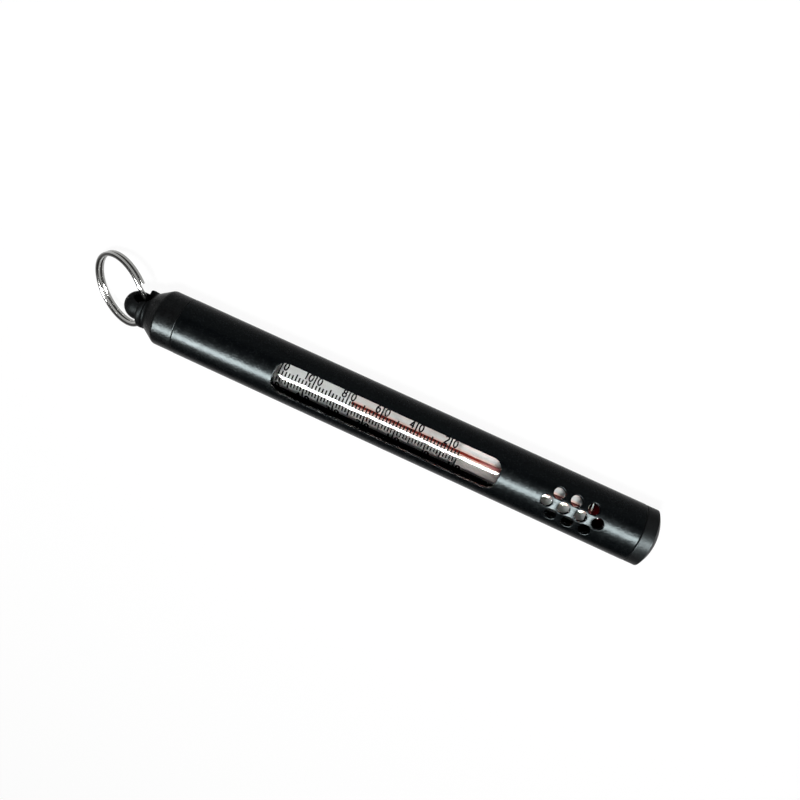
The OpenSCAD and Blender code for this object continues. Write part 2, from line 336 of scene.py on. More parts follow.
barrel = spun("barrel", filleted([
    (-seam, barrel_r - wall, seam_break), (-seam, barrel_r, seam_break),
    (seam, barrel_r, seam_break), (seam, barrel_r - wall, seam_break)]), segments=180, closed=True)
mill = milling_cutter("mill", slot_outline(window_len, window_w, window_corner, 16), window_break)
window_middle = Matrix.Translation((window_x0 + window_len / 2, 0, 0))
mill.data.transform(Matrix.Rotation(-window_turn, 4, "X") @ window_middle)
cut(barrel, mill)


def new_growth(name, numbers, **others):
    """A Geometry Nodes tree with an input for each name and for the finish, and their sockets."""
    tree = bpy.data.node_groups.new(name, "GeometryNodeTree")
    tree.interface.new_socket("Geometry", in_out="OUTPUT", socket_type="NodeSocketGeometry")
    kinds = {**others, **dict.fromkeys(numbers, "Float"), "Finish": "Material"}
    for label, kind in kinds.items():
        tree.interface.new_socket(label, in_out="INPUT", socket_type="NodeSocket" + kind)
    source = tree.nodes.new("NodeGroupInput")
    return tree, source.outputs


def finish_growth(tree, geometry):
    """Ends a tree in real geometry with the piece's material on it."""
    real = add(tree, "GeometryNodeRealizeInstances", [(0, geometry)])
    source = next(n for n in tree.nodes if n.type == "GROUP_INPUT")
    covered = add(tree, "GeometryNodeSetMaterial", [
        ("Geometry", real.outputs[0]), ("Material", source.outputs["Finish"])])
    add(tree, "NodeGroupOutput", [(0, covered.outputs[0])])


def grow(piece, tree, values):
    """Runs a tree on a piece with values for its named inputs, and keeps the mesh it makes."""
    growth = piece.modifiers.new("growth", "NODES")
    growth.node_group = tree
    for item in tree.interface.items_tree:
        if item.in_out == "INPUT" and item.name in values:
            growth[item.identifier] = values[item.name]
    settle(piece)


def position(tree, x=0.0, y=0.0, z=0.0):
    """A vector from its parts."""
    return add(tree, "ShaderNodeCombineXYZ", [(0, x), (1, y), (2, z)]).outputs[0]


def noise(tree, place, scale, detail):
    """A smooth random pattern, from 0 to 1."""
    return add(tree, "ShaderNodeTexNoise", [
        ("Vector", place), ("Scale", scale), ("Detail", detail)]).outputs["Fac"]


def bump(tree, height, strength, depth):
    """A surface direction that follows a pattern's height."""
    return add(tree, "ShaderNodeBump", [
        ("Height", height), ("Strength", strength), ("Distance", depth)]).outputs[0]


def principled(tree, surface, inputs):
    """Ends a material in one Principled shader."""
    body = add(tree, "ShaderNodeBsdfPrincipled", inputs)
    tree.links.new(body.outputs[0], surface)
    return body


def anodised(name, colour, roughness, worn_from=None):
    """Dyed aluminium oxide: nearly black, satin, with the fine grain of blasted metal. Past
    worn_from along X it is rubbed dull."""
    material, tree, surface = new_material(name)
    place = add(tree, "ShaderNodeTexCoord").outputs["Object"]
    grain = noise(tree, place, grain_scale, 4.0)
    cloud = noise(tree, place, cloud_scale, 3.0)
    mottle = calc(tree, "MULTIPLY_ADD", grain, 0.6, calc(tree, "MULTIPLY", cloud, 0.4))
    sheen = ramp(tree, mottle, 0.35, 0.65, roughness - 0.05, roughness + 0.07)
    metal = principled(tree, surface, [
        ("Base Color", colour), ("Roughness", sheen), ("Specular IOR Level", oxide_gloss),
        ("Specular Tint", oxide_tint), ("Normal", bump(tree, grain, 0.6, grain_depth))])
    if worn_from is not None:
        along_x = add(tree, "ShaderNodeSeparateXYZ", [(0, place)]).outputs["X"]
        worn = ramp(tree, along_x, worn_from, worn_from - 1.0 * MM, interpolation_type="SMOOTHSTEP")
        duller = calc(tree, "MULTIPLY_ADD", worn, 0.16, sheen)
        tree.links.new(duller, metal.inputs["Roughness"])
        fainter = calc(tree, "MULTIPLY_ADD", worn, -0.03, oxide_gloss)
        tree.links.new(fainter, metal.inputs["Specular IOR Level"])
    return material


barrel_black = anodised("barrel_black", (0.0012, 0.0016, 0.002, 1), 0.24)
tree, given = new_growth("drilled_rows", ("Middle", "Pitch", "Turn", "Row Step"),
                         Geometry="Geometry", Drill="Object")
drill_shape = add(tree, "GeometryNodeObjectInfo", [("Object", given["Drill"])]).outputs["Geometry"]
holes = add(tree, "GeometryNodeJoinGeometry")
turned_back = calc(tree, "MULTIPLY", given["Turn"], -1.0)
for row, ports in enumerate(port_rows):
    half_row = calc(tree, "MULTIPLY", given["Pitch"], (ports - 1) / 2)
    first = calc(tree, "SUBTRACT", given["Middle"], half_row)
    line = add(tree, "GeometryNodeMeshLine", [
        ("Count", ports), ("Start Location", position(tree, first)),
        ("Offset", position(tree, given["Pitch"]))])
    lean = calc(tree, "MULTIPLY_ADD", given["Row Step"], row - 1.0, turned_back)
    drills = add(tree, "GeometryNodeInstanceOnPoints", [
        ("Points", line.outputs[0]), ("Instance", drill_shape), ("Rotation", position(tree, lean))])
    tree.links.new(drills.outputs[0], holes.inputs[0])
solid_holes = add(tree, "GeometryNodeRealizeInstances", [(0, holes.outputs[0])])
drilled = add(tree, "GeometryNodeMeshBoolean", [
    (0, given["Geometry"]), (1, solid_holes.outputs[0])], operation="DIFFERENCE", solver="MANIFOLD")
finish_growth(tree, drilled.outputs[0])
drill = milling_cutter("drill", slot_outline(2 * port_r, 2 * port_r, port_r), port_break)
grow(barrel, tree, {"Drill": drill, "Middle": ports_x, "Pitch": port_pitch, "Turn": window_turn,
                    "Row Step": port_row_step, "Finish": barrel_black})
bpy.data.objects.remove(drill)
polish(barrel)

# The bore keeps the drill's dull finish under its dye, and hardly shines.
bore_black, tree, surface = new_material("bore_black")
place = add(tree, "ShaderNodeTexCoord").outputs["Object"]
turning = add(tree, "ShaderNodeTexWave", [("Vector", place), ("Scale", 900.0), ("Distortion", 0.6)],
              bands_direction="X")
principled(tree, surface, [
    ("Base Color", bore_dye), ("Roughness", 0.6), ("Specular IOR Level", 0.0),
    ("Normal", bump(tree, turning.outputs["Fac"], 0.4, 0.03 * MM))])
barrel.data.materials.append(bore_black)
outer_skin, end_skin = 0.3 * MM, 0.05 * MM
for face in barrel.data.polygons:
    under_skin = math.hypot(face.center.y, face.center.z) < barrel_r - outer_skin
    if under_skin and abs(face.center.x) < seam - end_skin:
        face.material_index = 1
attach(barrel, "case")
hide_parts("case_tube")

# End cap
# A turned aluminium plug with a straight rim and a shallow crown, blasted and dyed like the
# barrel. It is pressed into the bulb end, up to its shoulder.
rim_r = barrel_r - 0.05 * MM
bore_r = barrel_r - wall
end_rim = 2.7 * MM
crown_h = 1.9 * MM
seam_gap = 0.08 * MM
plug_len = 4.0 * MM
plug_r = bore_r - 0.02 * MM
crown_r = (rim_r ** 2 + crown_h ** 2) / (2 * crown_h)
crown_angle = math.asin(rim_r / crown_r)
crown_steps = 18


def dress(piece, material):
    """Gives a piece its one material."""
    piece.data.materials.clear()
    piece.data.materials.append(material)


crown = []
for k in range(crown_steps + 1):
    a = crown_angle * (1 - k / crown_steps)
    x = seam + end_rim + crown_h - crown_r + crown_r * math.cos(a)
    crown.append((x, max(0.0, crown_r * math.sin(a)), 0))
end_cap = spun("bulb_end_cap", filleted([
    (seam - plug_len, 0, 0), (seam - plug_len, plug_r, 0.2 * MM), (seam + seam_gap, plug_r, 0),
    (seam + seam_gap, rim_r, seam_break)] + crown))
polish(end_cap, 50)
dress(end_cap, anodised("end_black", (0.004, 0.004, 0.0043, 1), 0.38))
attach(end_cap, "case")
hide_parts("end_cap")

# Screw cap
# Turned from aluminium bar: a straight rim, a cone down to a neck, a bead, and a round nose that
# the eye for the ring is drilled through. Its spigot has a groove for the seal and the thread.
cap_rim = 4.8 * MM
cap_cone = 3.3 * MM
neck_r = 4.15 * MM
bead_r = 4.35 * MM
bead_t = 1.5 * MM
neck_len = 0.45 * MM
nose_r = 3.2 * MM
cap_len = 14.55 * MM
rim_round, cone_foot, bead_round, bead_foot = 1.2 * MM, 0.25 * MM, 0.6 * MM, 0.15 * MM
eye_r = 1.9 * MM
eye_x = -seam - cap_len + 4.1 * MM
eye_mouth = 0.5 * MM
spigot_len = 6.0 * MM
spigot_r = bore_r - 0.04 * MM
core_r = spigot_r - 0.4 * MM
core_to, land_from = 2.8 * MM, 2.4 * MM
groove_r = 4.28 * MM
groove_from, groove_to = 1.75 * MM, 0.7 * MM
thread_x = -seam + 5.6 * MM
thread_lead = 1.0 * MM
thread_turns = 2.6
thread_depth = 0.36 * MM
run_outs = 12.0


def outward(u, r, fillet=0.0):
    """A corner of the cap's profile, u from the seam out towards the ring."""
    return (-seam - u, r, fillet)


def quarter_turn(steps):
    """Angles from 0 to 90 degrees."""
    return [math.pi / 2 * k / steps for k in range(steps + 1)]


bead_u = cap_rim + cap_cone + neck_len + bead_t / 2
nose_u = cap_len - nose_r
nose = [outward(nose_u + nose_r * math.sin(a), max(0.0, nose_r * math.cos(a)))
        for a in quarter_turn(16)]
screw_cap = spun("screw_cap", filleted([
    outward(-spigot_len, 0), outward(-spigot_len, core_r, 0.3 * MM), outward(-core_to, core_r),
    outward(-land_from, spigot_r), outward(-groove_from, spigot_r), outward(-groove_from, groove_r),
    outward(-groove_to, groove_r), outward(-groove_to, spigot_r), outward(0, spigot_r),
    outward(0, rim_r, seam_break), outward(cap_rim, rim_r, rim_round),
    outward(cap_rim + cap_cone, neck_r, cone_foot),
    outward(bead_u - bead_t / 2, neck_r, bead_foot), outward(bead_u - bead_t / 2, bead_r, bead_round),
    outward(bead_u + bead_t / 2, bead_r, bead_round), outward(bead_u + bead_t / 2, nose_r, bead_foot),
] + nose))


def eye_cutter():
    """The drill for the eye, along Y, with both mouths rounded over."""
    inside, outside = nose_r - 0.25 * MM, nose_r + 1.5 * MM
    rounding, steps = math.radians(80), 5
    outline = []
    for side in (-1, 1):
        arc = []
        for k in range(steps + 1):
            a = rounding * k / steps
            y = inside - eye_mouth * (1 - math.sin(a))
            arc.append((side * y, eye_r + eye_mouth * (1 - math.cos(a))))
        arc += [(side * outside, eye_r + 1.8 * eye_mouth), (side * outside, 0.0)]
        outline += arc[::-1] if side < 0 else arc
    drill = spun("drill", outline, segments=96)
    drill.data.transform(Matrix.Translation((eye_x, 0, 0)) @ Matrix.Rotation(math.pi / 2, 4, "Z"))
    return drill


cut(screw_cap, eye_cutter())


def polar(tree, radius, angle):
    """The parts of a radius along its angle's sine and cosine."""
    return [calc(tree, "MULTIPLY", radius, calc(tree, part, angle)) for part in ("SINE", "COSINE")]


tree, given = new_growth("screw_thread", ("Radius", "Lead", "Turns", "Depth", "Start"),
                         Geometry="Geometry")
line = add(tree, "GeometryNodeCurvePrimitiveLine")
route = add(tree, "GeometryNodeResampleCurve", [("Curve", line.outputs[0]), ("Count", 260)])
along = add(tree, "GeometryNodeSplineParameter").outputs["Factor"]
turns_done = calc(tree, "MULTIPLY", along, given["Turns"])
from_start = calc(tree, "MULTIPLY", along, run_outs)
from_end = calc(tree, "MULTIPLY", calc(tree, "SUBTRACT", 1.0, along), run_outs)
full_height = calc(tree, "MINIMUM", calc(tree, "MINIMUM", from_start, from_end), 1.0)
deepest = calc(tree, "MULTIPLY", given["Depth"], -1.2)
sunk = calc(tree, "MULTIPLY", calc(tree, "SUBTRACT", 1.0, full_height), deepest)
advance = calc(tree, "SUBTRACT", given["Start"], calc(tree, "MULTIPLY", turns_done, given["Lead"]))
crest = calc(tree, "ADD", given["Radius"], sunk)
across = polar(tree, crest, calc(tree, "MULTIPLY", turns_done, full_turn))
helix = add(tree, "GeometryNodeSetPosition", [
    ("Geometry", route.outputs[0]), ("Position", position(tree, advance, *across))])
tooth = add(tree, "GeometryNodeCurvePrimitiveCircle", [
    ("Resolution", 6), ("Radius", given["Depth"])], mode="RADIUS")
ridge = add(tree, "GeometryNodeCurveToMesh", [
    ("Curve", helix.outputs[0]), ("Profile Curve", tooth.outputs[0]), ("Fill Caps", True)])
whole = add(tree, "GeometryNodeJoinGeometry")
for part in (ridge.outputs[0], given["Geometry"]):
    tree.links.new(part, whole.inputs[0])
finish_growth(tree, whole.outputs[0])
cap_black = anodised("cap_black", (0.003, 0.003, 0.0032, 1), 0.27, worn_from=-seam - 7.0 * MM)
grow(screw_cap, tree, {"Radius": core_r, "Lead": thread_lead, "Turns": thread_turns,
                       "Depth": thread_depth, "Start": thread_x, "Finish": cap_black})
polish(screw_cap, 40)
dress(screw_cap, cap_black)
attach(screw_cap, "cap")
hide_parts("top_cap")

# Glass
# A solid rod of drawn glass, clear all through, with the bulb blown on its end. Two rubber
# collars hold it on the barrel's axis.
glass_low, glass_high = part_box("thermometer_glass")
stem_r = 3.35 * MM
bulb_r = 3.0 * MM
bulb_x = glass_high.x - 4.7 * MM
bulb_neck = 0.3 * MM
shoulder_r = bulb_r - 0.15 * MM
glass_ior = 1.47
glass_tint, glass_shade = (0.98, 1.0, 0.995, 1), (0.93, 0.95, 0.95, 1)
draw_scales = (30.0, 700.0, 700.0)


def stretched(tree, place, scales):
    """A place with its axes scaled, for a pattern that is drawn out along X."""
    scaled = add(tree, "ShaderNodeVectorMath", [(0, place), (1, scales)], operation="MULTIPLY")
    return scaled.outputs[0]


def let_by(tree, surface, body, shade, straight):
    """Ends a material in a shader that lets the chosen rays straight through, a little shaded."""
    passing = add(tree, "ShaderNodeBsdfTransparent", [("Color", shade)])
    both = add(tree, "ShaderNodeMixShader", [
        (0, straight), (1, body.outputs[0]), (2, passing.outputs[0])])
    tree.links.new(both.outputs[0], surface)


bulb_end = [(glass_high.x - bulb_r + bulb_r * math.sin(a), max(0.0, bulb_r * math.cos(a)), 0)
            for a in quarter_turn(16)]
glass = spun("glass", filleted([
    (glass_low.x, 0, 0), (glass_low.x, stem_r, 0.5 * MM), (bulb_x - bulb_neck, stem_r, 0.2 * MM),
    (bulb_x, shoulder_r, 0.3 * MM), (bulb_x + bulb_neck, bulb_r, 0.3 * MM),
] + bulb_end), segments=128)
polish(glass, 60)
clear, tree, surface = new_material("clear_glass")
place = add(tree, "ShaderNodeTexCoord").outputs["Object"]
draw_lines = noise(tree, stretched(tree, place, draw_scales), 1.0, 1.0)
body = add(tree, "ShaderNodeBsdfPrincipled", [
    ("Base Color", glass_tint), ("Roughness", 0.0), ("IOR", glass_ior), ("Transmission Weight", 1.0),
    ("Normal", bump(tree, draw_lines, 0.15, 0.05 * MM))])
path = add(tree, "ShaderNodeLightPath")
straight = calc(tree, "MAXIMUM", path.outputs["Is Shadow Ray"], path.outputs["Is Diffuse Ray"])
let_by(tree, surface, body, glass_shade, straight)
dress(glass, clear)
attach(glass, "case")
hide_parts("thermometer_glass")

# Red spirit
# Dyed alcohol, sealed in the glass. It fills the bulb and stands in the hair-fine bore up to
# 78 degrees Fahrenheit. Past the window, where the barrel shades it, it is painted nearly black, a
# painted shade.
column_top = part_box("red_spirit")[0].x
bore = 0.2 * MM
bulb_wall = 0.4 * MM
spirit_r = bulb_r - bulb_wall
filling_round = 0.05 * MM
pale_from, pale_to, pale_share = 17 * MM, 19 * MM, 0.6
# Past the window the dye is painted darker: painted shade where the barrel covers it.
spirit_shade_from, spirit_shade_to, spirit_shade_share = 25 * MM, 33 * MM, 0.8
dye_red, dye_pale, dye_deep_and_shaded = (0.24, 0.03, 0.02, 1), (0.5, 0.2, 0.19, 1), (0.022, 0.0004, 0.0008, 1)
dye_shade = (0.97, 0.8, 0.78, 1)


def blend(tree, share, first, second):
    """A colour between two others."""
    ends = [("Factor", share), (6, first), (7, second)]
    return add(tree, "ShaderNodeMix", ends, data_type="RGBA").outputs[2]


filling = [(glass_high.x - bulb_r + spirit_r * math.sin(a), max(0.0, spirit_r * math.cos(a)), 0)
           for a in quarter_turn(12)]
spirit = spun("spirit", filleted([
    (column_top, 0, 0), (column_top, bore, 0.15 * MM), (bulb_x - filling_round, bore, 0),
    (bulb_x + filling_round, spirit_r - 2 * filling_round, filling_round),
    (bulb_x + bulb_neck, spirit_r, 0)] + filling), segments=96)
polish(spirit, 60)
red, tree, surface = new_material("red_dye")
place = add(tree, "ShaderNodeTexCoord").outputs["Object"]
apart = add(tree, "ShaderNodeSeparateXYZ", [(0, place)])
x, y, z = (apart.outputs[axis] for axis in "XYZ")
off_axis = calc(tree, "SQRT", calc(tree, "MULTIPLY_ADD", y, y, calc(tree, "MULTIPLY", z, z)))
deep = ramp(tree, off_axis, bore, 4 * bore)
uneven = ramp(tree, noise(tree, place, 900.0, 2.0), 0.3, 0.7, 0.0, 0.25)
# The thick spirit off the axis is really darker, and past the window the dye is painted darker as
# painted shade; both darken it.
painted_barrel_shade = ramp(tree, x, spirit_shade_from, spirit_shade_to, 0.0, spirit_shade_share)
strength = calc(tree, "MAXIMUM", calc(tree, "MAXIMUM", deep, uneven), painted_barrel_shade)
column = blend(tree, ramp(tree, x, pale_from, pale_to, 0.0, pale_share), dye_red, dye_pale)
body = add(tree, "ShaderNodeBsdfPrincipled", [
    ("Base Color", blend(tree, strength, column, dye_deep_and_shaded)), ("Roughness", 0.1),
    ("Specular IOR Level", 0.0)])
path = add(tree, "ShaderNodeLightPath")
let_by(tree, surface, body, dye_shade, path.outputs["Is Shadow Ray"])
dress(spirit, red)
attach(spirit, "case")
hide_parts("red_spirit")

# Enamel
# A strip of opal glass, drawn into the back of the stem behind the bore. It is a white ground
# for the scale, and is painted darker towards the bulb, a painted shade where the barrel covers it.
stem_turn = math.radians(24)
enamel_x0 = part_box("enamel_strip")[0].x
enamel_x1 = bulb_x - 0.2 * MM
enamel_in, enamel_out = 1.9 * MM, 2.4 * MM
enamel_start = stem_turn + math.radians(105)
enamel_sweep = math.radians(172)
streak_scales = (60.0, 2600.0, 2600.0)
milk_grey, milk_white = (0.84, 0.84, 0.82, 1), (0.97, 0.97, 0.95, 1)
milk_shaded = (0.34, 0.37, 0.37, 1)
enamel_shade_from, enamel_shade_to, enamel_shade_share = 24 * MM, 32 * MM, 0.55
# Where the painted red glow on the enamel lies, how far it reaches and how strong it is.
painted_glow_angle = math.radians(226)
painted_glow_near, painted_glow_far, painted_glow_share = 0.1 * MM, 0.55 * MM, 0.75
painted_glow_red = (0.8, 0.36, 0.26, 1)

enamel = spun("enamel", [
    (enamel_x0, enamel_in), (enamel_x0, enamel_out), (enamel_x1, enamel_out), (enamel_x1, enamel_in),
], segments=48, closed=True, start=enamel_start, sweep_angle=enamel_sweep)
polish(enamel)
opal, tree, surface = new_material("opal_white")
place = add(tree, "ShaderNodeTexCoord").outputs["Object"]
apart = add(tree, "ShaderNodeSeparateXYZ", [(0, place)])
x, y, z = (apart.outputs[axis] for axis in "XYZ")
streaks = noise(tree, stretched(tree, place, streak_scales), 1.0, 3.0)
milk = blend(tree, streaks, milk_grey, milk_white)
# Painted shade: the enamel is painted darker towards the bulb, where the barrel shades it.
milk = blend(tree, ramp(tree, x, enamel_shade_from, enamel_shade_to, 0.0, enamel_shade_share), milk, milk_shaded)
# Painted red light: the enamel beside the column is painted pink, for light that passes through the
# red dye.
column_at = (0, enamel_in * math.sin(painted_glow_angle), enamel_in * math.cos(painted_glow_angle))
from_column = add(tree, "ShaderNodeVectorMath", [(0, position(tree, 0.0, y, z)), (1, column_at)],
                  operation="DISTANCE").outputs["Value"]
beside = ramp(tree, from_column, painted_glow_near, painted_glow_far, painted_glow_share, 0.0,
              interpolation_type="SMOOTHSTEP")
painted_glow = calc(tree, "MULTIPLY", beside, calc(tree, "GREATER_THAN", x, column_top))
principled(tree, surface, [
    ("Base Color", blend(tree, painted_glow, milk, painted_glow_red)), ("Roughness", 0.5),
    ("Specular IOR Level", 0.0)])
dress(enamel, opal)
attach(enamel, "case")
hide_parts("enamel_strip")

# Graduations
# Short bars of black ink, fired on the glass: Fahrenheit every 2 degrees towards the camera, and
# Celsius every degree on the other side of the bore. Every fifth bar is longer, and every tenth
# longer still.
ink_root = stem_r - 0.01 * MM
ink_face = stem_r + 0.03 * MM
ink_black, ink_grey = (0.004, 0.004, 0.005, 1), (0.016, 0.016, 0.017, 1)
bar_w = 0.33 * MM
bar_gap = math.radians(6)
degree_len = 0.394 * MM
freezing_x = window_x0 + 35.07 * MM
freezing_f = 32
lowest_f, highest_f = 14, 120
lowest_c, highest_c = -10, 50
f_per_c = 1.8
scale_end_x = freezing_x + (freezing_f - lowest_f) * degree_len

ink, tree, surface = new_material("fired_ink")
place = add(tree, "ShaderNodeTexCoord").outputs["Object"]
specks = noise(tree, place, 4000.0, 3.0)
principled(tree, surface, [
    ("Base Color", blend(tree, specks, ink_black, ink_grey)),
    ("Roughness", ramp(tree, specks, 0.0, 1.0, 0.3, 0.55)), ("Specular IOR Level", 0.005)])

# Past Five is how many bars the first one stands past a fifth bar, and Long Shift is 5 where that
# fifth bar isn't a tenth one.
tree, given = new_growth("graduations", (
    "First", "Spacing", "Bar Width", "Side", "Gap", "Short", "Middle", "Long", "Past Five",
    "Long Shift", "Turn", "Root", "Face"), Count="Int")
index = calc(tree, "ADD", add(tree, "GeometryNodeInputIndex").outputs[0], given["Past Five"])
is_middle = calc(tree, "COMPARE", calc(tree, "MODULO", index, 5.0), 0.0, 0.5)
shifted = calc(tree, "ADD", index, given["Long Shift"])
is_long = calc(tree, "COMPARE", calc(tree, "MODULO", shifted, 10.0), 0.0, 0.5)
middle_more = calc(tree, "SUBTRACT", given["Middle"], given["Short"])
long_more = calc(tree, "SUBTRACT", given["Long"], given["Middle"])
end = calc(tree, "MULTIPLY_ADD", is_middle, middle_more, given["Short"])
end = calc(tree, "MULTIPLY_ADD", is_long, long_more, end)
bar_len = calc(tree, "SUBTRACT", end, given["Gap"])
halfway = calc(tree, "MULTIPLY", calc(tree, "ADD", end, given["Gap"]), 0.5)
bar_angle = calc(tree, "MULTIPLY", given["Side"], halfway)
line = add(tree, "GeometryNodeMeshLine", [
    ("Count", given["Count"]), ("Start Location", position(tree, given["First"])),
    ("Offset", position(tree, given["Spacing"]))])
points = add(tree, "GeometryNodeSetPosition", [
    ("Geometry", line.outputs[0]), ("Offset", position(tree, 0.0, bar_angle))])
bar = add(tree, "GeometryNodeMeshGrid", [
    ("Size X", 1.0), ("Size Y", 1.0), ("Vertices X", 2), ("Vertices Y", 13)])
bars = add(tree, "GeometryNodeInstanceOnPoints", [
    ("Points", points.outputs[0]), ("Instance", bar.outputs[0]),
    ("Scale", position(tree, given["Bar Width"], bar_len, 1.0))])
flat = add(tree, "GeometryNodeRealizeInstances", [(0, bars.outputs[0])])
thick = calc(tree, "SUBTRACT", given["Face"], given["Root"])
raised = add(tree, "GeometryNodeExtrudeMesh", [
    ("Mesh", flat.outputs[0]), ("Offset Scale", thick), ("Individual", False)])
backs = add(tree, "GeometryNodeFlipFaces", [(0, flat.outputs[0])])
slabs = add(tree, "GeometryNodeJoinGeometry")
for part in (backs, raised):
    tree.links.new(part.outputs[0], slabs.inputs[0])
closed = add(tree, "GeometryNodeMergeByDistance", [(0, slabs.outputs[0]), ("Distance", 1e-7)])
spot = add(tree, "GeometryNodeInputPosition").outputs[0]
apart = add(tree, "ShaderNodeSeparateXYZ", [(0, spot)])
around = polar(tree, calc(tree, "ADD", apart.outputs[2], given["Root"]),
               calc(tree, "ADD", apart.outputs[1], given["Turn"]))
wrapped = add(tree, "GeometryNodeSetPosition", [
    ("Geometry", closed.outputs[0]), ("Position", position(tree, apart.outputs[0], *around))])
finish_growth(tree, wrapped.outputs[0])

scales = {
    "fahrenheit_bars": {
        "Spacing": -2 * degree_len, "Count": (highest_f - lowest_f) // 2 + 1, "Side": 1.0,
        "Short": math.radians(24), "Middle": math.radians(32), "Long": math.radians(59),
        "Past Five": 2.0, "Long Shift": 5.0},
    "celsius_bars": {
        "Spacing": -f_per_c * degree_len, "Count": highest_c - lowest_c + 1, "Side": -1.0,
        "Short": math.radians(25), "Middle": math.radians(37), "Long": math.radians(54),
        "Past Five": 0.0, "Long Shift": 0.0}}
shared = {"First": scale_end_x, "Bar Width": bar_w, "Gap": bar_gap, "Turn": stem_turn,
          "Root": ink_root, "Face": ink_face, "Finish": ink}
for name, node in (("fahrenheit_bars", "fahrenheit_marks"), ("celsius_bars", "celsius_marks")):
    bars = shown(name, bpy.data.meshes.new(name))
    grow(bars, tree, {**shared, **scales[name]})
    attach(bars, "case")
    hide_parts(node)

# Numerals
# The same ink, drawn as thin even strokes that straddle the long bars: every 20 degrees from 20 to
# 120 on the Fahrenheit side, and every 10 from 10 below to 50 on the Celsius side.
stroke_w = 0.32 * MM
longest_step = 0.25 * MM
digit_w = 0.95 * MM
digit_h = 1.75 * MM
digits_at = (-2.1 * MM, -1.0 * MM, 1.05 * MM)
lone_digit_at = 0.9 * MM
fahrenheit_base = stem_turn + math.radians(28)
celsius_base = stem_turn - math.radians(64)


def curved(cx, cy, rx, ry, start, end, steps=14):
    """Points on an oval, in shares of a digit's box, from one angle to another in degrees."""
    angles = [math.radians(start + (end - start) * k / steps) for k in range(steps + 1)]
    return [(cx + rx * math.cos(a), cy + ry * math.sin(a)) for a in angles]


strokes = {
    "0": [curved(0.5, 0.5, 0.42, 0.48, 0, 360, 32)],
    "1": [[(0.3, 0.82), (0.52, 0.98), (0.52, 0.02)]],
    "2": [curved(0.5, 0.72, 0.4, 0.26, 165, -35) + [(0.1, 0.02), (0.92, 0.02)]],
    "3": [curved(0.45, 0.74, 0.38, 0.24, 150, -90) + curved(0.45, 0.26, 0.44, 0.24, 90, -150)],
    "4": [[(0.68, 0.02), (0.68, 0.98), (0.06, 0.3), (0.95, 0.3)]],
    "5": [[(0.85, 0.98), (0.22, 0.98), (0.16, 0.56)] + curved(0.46, 0.32, 0.42, 0.3, 130, -150)],
    "6": [curved(0.5, 0.32, 0.4, 0.3, 150, -210, 28)
          + curved(0.72, 0.36, 0.64, 0.62, 170, 105, 10)],
    "8": [curved(0.5, 0.74, 0.34, 0.23, -90, 270, 26), curved(0.5, 0.26, 0.42, 0.25, 90, 450, 26)],
}


def ink_stroke(bm, route, at_x, at_angle):
    """A flat bar of ink along a route of (x, arc) points, wrapped on the glass."""
    sides = []
    last = len(route) - 1
    shut = (Vector(route[0]) - Vector(route[-1])).length < 1e-7
    if shut:
        route = route[:-1]
        last -= 1
    for k, here in enumerate(route):
        before = route[k - 1] if shut or k else here
        after = route[(k + 1) % len(route)] if shut or k < last else here
        a, b = Vector(here) - Vector(before), Vector(after) - Vector(here)
        along = (a.normalized() + b.normalized()).normalized()
        out = Vector((-along.y, along.x))
        corner = max(0.6, math.cos(a.angle(b) / 2)) if a.length and b.length else 1.0
        sides.append([Vector(here) + out * (s * stroke_w / 2 / corner) for s in (-1, 1)])
    rings = []
    for right, left in sides:
        ring = []
        for radius, p in ((ink_root, right), (ink_root, left), (ink_face, left), (ink_face, right)):
            a = at_angle + p.y / stem_r
            ring.append(bm.verts.new((at_x + p.x, radius * math.sin(a), radius * math.cos(a))))
        rings.append(ring)
    for low, high in list(zip(rings, rings[1:])) + ([(rings[-1], rings[0])] if shut else []):
        for j in range(4):
            k = (j + 1) % 4
            bm.faces.new((low[j], low[k], high[k], high[j]))
    if not shut:
        bm.faces.new(rings[0])
        bm.faces.new(rings[-1][::-1])


def fine_route(route):
    """The stroke's points in metres, with none further apart than the glass's curve allows."""
    points = [(x * digit_w, y * digit_h) for x, y in route]
    fine = [points[0]]
    for a, b in zip(points, points[1:]):
        parts = max(1, math.ceil(math.dist(a, b) / longest_step))
        fine += [(a[0] + (b[0] - a[0]) * k / parts, a[1] + (b[1] - a[1]) * k / parts)
                 for k in range(1, parts + 1)]
    return fine


def numerals(name, labels, base_angle):
    """One mesh of numbers, each split by its bar: the digits before the last stand left of it."""
    bm = bmesh.new()
    for number, x in labels:
        text = str(number)
        places = digits_at[-len(text):] if len(text) > 1 else [lone_digit_at]
        for place, digit in zip(places, text):
            for route in strokes[digit]:
                ink_stroke(bm, fine_route(route), x + place - digit_w / 2, base_angle)
    bmesh.ops.recalc_face_normals(bm, faces=bm.faces)
    mesh = bpy.data.meshes.new(name)
    bm.to_mesh(mesh)
    bm.free()
    piece = shown(name, mesh)
    dress(piece, ink)
    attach(piece, "case")


numerals("fahrenheit_numerals", [(t, freezing_x - (t - freezing_f) * degree_len)
                                 for t in range(20, highest_f + 1, 20)], fahrenheit_base)
numerals("celsius_numerals", [(abs(t), freezing_x - f_per_c * t * degree_len)
                              for t in range(lowest_c, highest_c + 1, 10)], celsius_base)

# Rubber
# Moulded black rubber, the CAD's own pieces: two collars that centre the stem, a cushion at each
# end of the glass, and the ring that seals the screw cap in the barrel.
rubber_black, rubber_bloom = (0.006, 0.006, 0.006, 1), (0.03, 0.03, 0.029, 1)
rubber, tree, surface = new_material("black_rubber")
place = add(tree, "ShaderNodeTexCoord").outputs["Object"]
bloom = noise(tree, place, 1100.0, 4.0)
principled(tree, surface, [
    ("Base Color", blend(tree, bloom, rubber_black, rubber_bloom)), ("Roughness", 0.75),
    ("Specular IOR Level", 0.1), ("Normal", bump(tree, bloom, 0.4, 0.08 * MM))])
for name in ("upper_collar", "lower_collar", "top_cushion", "bulb_cushion", "cap_seal"):
    dress(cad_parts[name], rubber)

